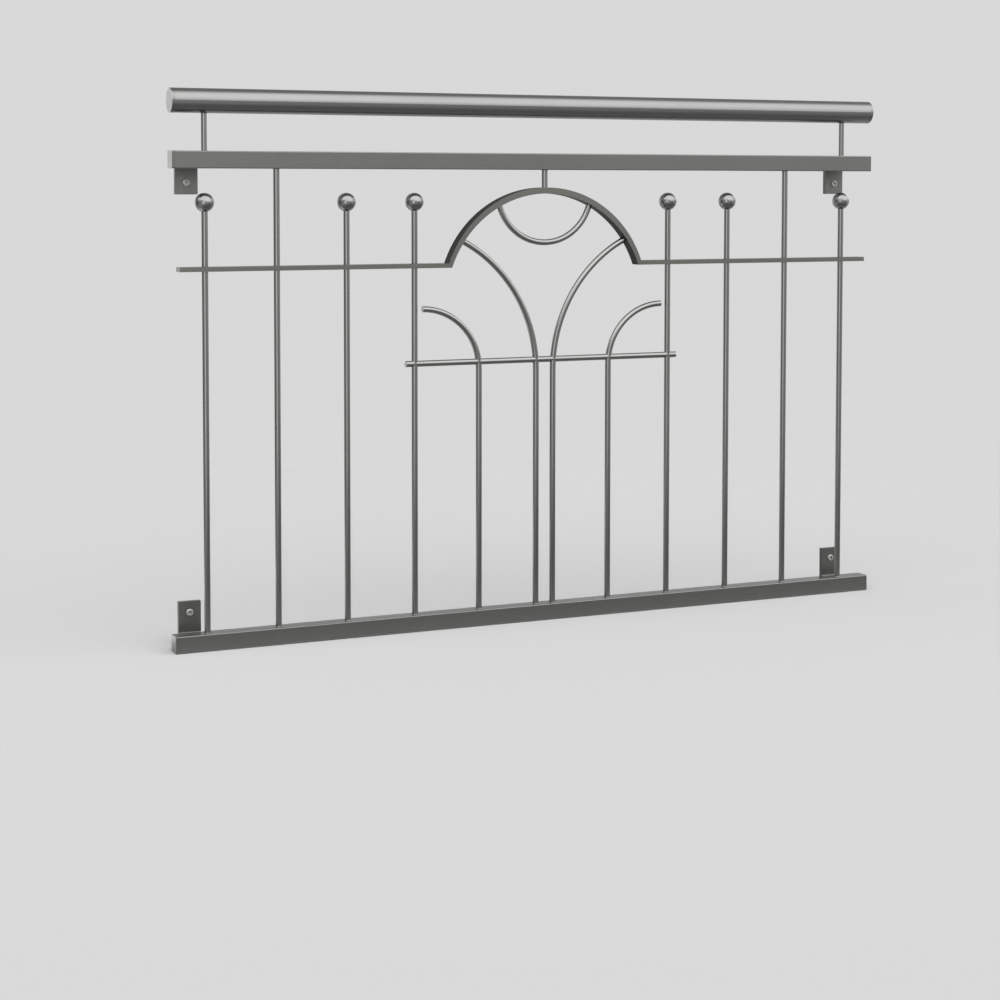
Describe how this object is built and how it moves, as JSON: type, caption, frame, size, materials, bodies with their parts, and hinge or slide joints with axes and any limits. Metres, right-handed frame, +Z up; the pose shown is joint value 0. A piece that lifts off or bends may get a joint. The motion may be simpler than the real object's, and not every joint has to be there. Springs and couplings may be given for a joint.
{
  "type": "juliet balcony",
  "caption": "Wall-mounted stainless steel window guard with a round handrail, ball-topped bars and an arched flat band with fanned rods.",
  "frame": {"origin": "on the wall face of the lower left bracket, midway across it and level with the top face of the bottom rail", "axes": "+X along the rails to the right as seen from outside, +Y into the wall, +Z up"},
  "size_m": [1.4, 0.0812, 0.9664],
  "materials": {
    "handrail_steel": "round tube brushed along its length",
    "rail_steel": "brushed along its length",
    "bar_steel": "fine ground",
    "ball_steel": "polished",
    "bracket_steel": "satin"
  },
  "bodies": {
    "root": {"arch_band": "rail_steel", "ball_1": "ball_steel", "ball_2": "ball_steel", "ball_3": "ball_steel", "ball_4": "ball_steel", "ball_5": "ball_steel", "ball_6": "ball_steel", "ball_bar_1": "bar_steel", "ball_bar_2": "bar_steel", "ball_bar_3": "bar_steel", "ball_bar_4": "bar_steel", "ball_bar_5": "bar_steel", "ball_bar_6": "bar_steel", "band_left": "rail_steel", "band_right": "rail_steel", "bottom_rail": "rail_steel", "bottom_rail_cap_left": "rail_steel", "bottom_rail_cap_right": "rail_steel", "bowl_rod": "bar_steel", "cross_rod_1": "bar_steel", "cross_rod_2": "bar_steel", "cross_rod_3": "bar_steel", "cross_rod_4": "bar_steel", "cross_rod_5": "bar_steel", "cross_rod_6": "bar_steel", "cross_rod_7": "bar_steel", "crown_pin": "bar_steel", "fan_rod_left": "bar_steel", "fan_rod_right": "bar_steel", "full_bar_left": "bar_steel", "full_bar_right": "bar_steel", "handrail_cap_left": "handrail_steel", "handrail_cap_right": "handrail_steel", "handrail_pin_left": "bar_steel", "handrail_pin_right": "bar_steel", "handrail_tube": "handrail_steel", "top_rail": "rail_steel", "top_rail_cap_left": "rail_steel", "top_rail_cap_right": "rail_steel", "tulip_rod_left": "bar_steel", "tulip_rod_right": "bar_steel", "wall_bracket_bottom_left": "bracket_steel", "wall_bracket_bottom_right": "bracket_steel", "wall_bracket_top_left": "bracket_steel", "wall_bracket_top_right": "bracket_steel"}
  },
  "joints": []
}
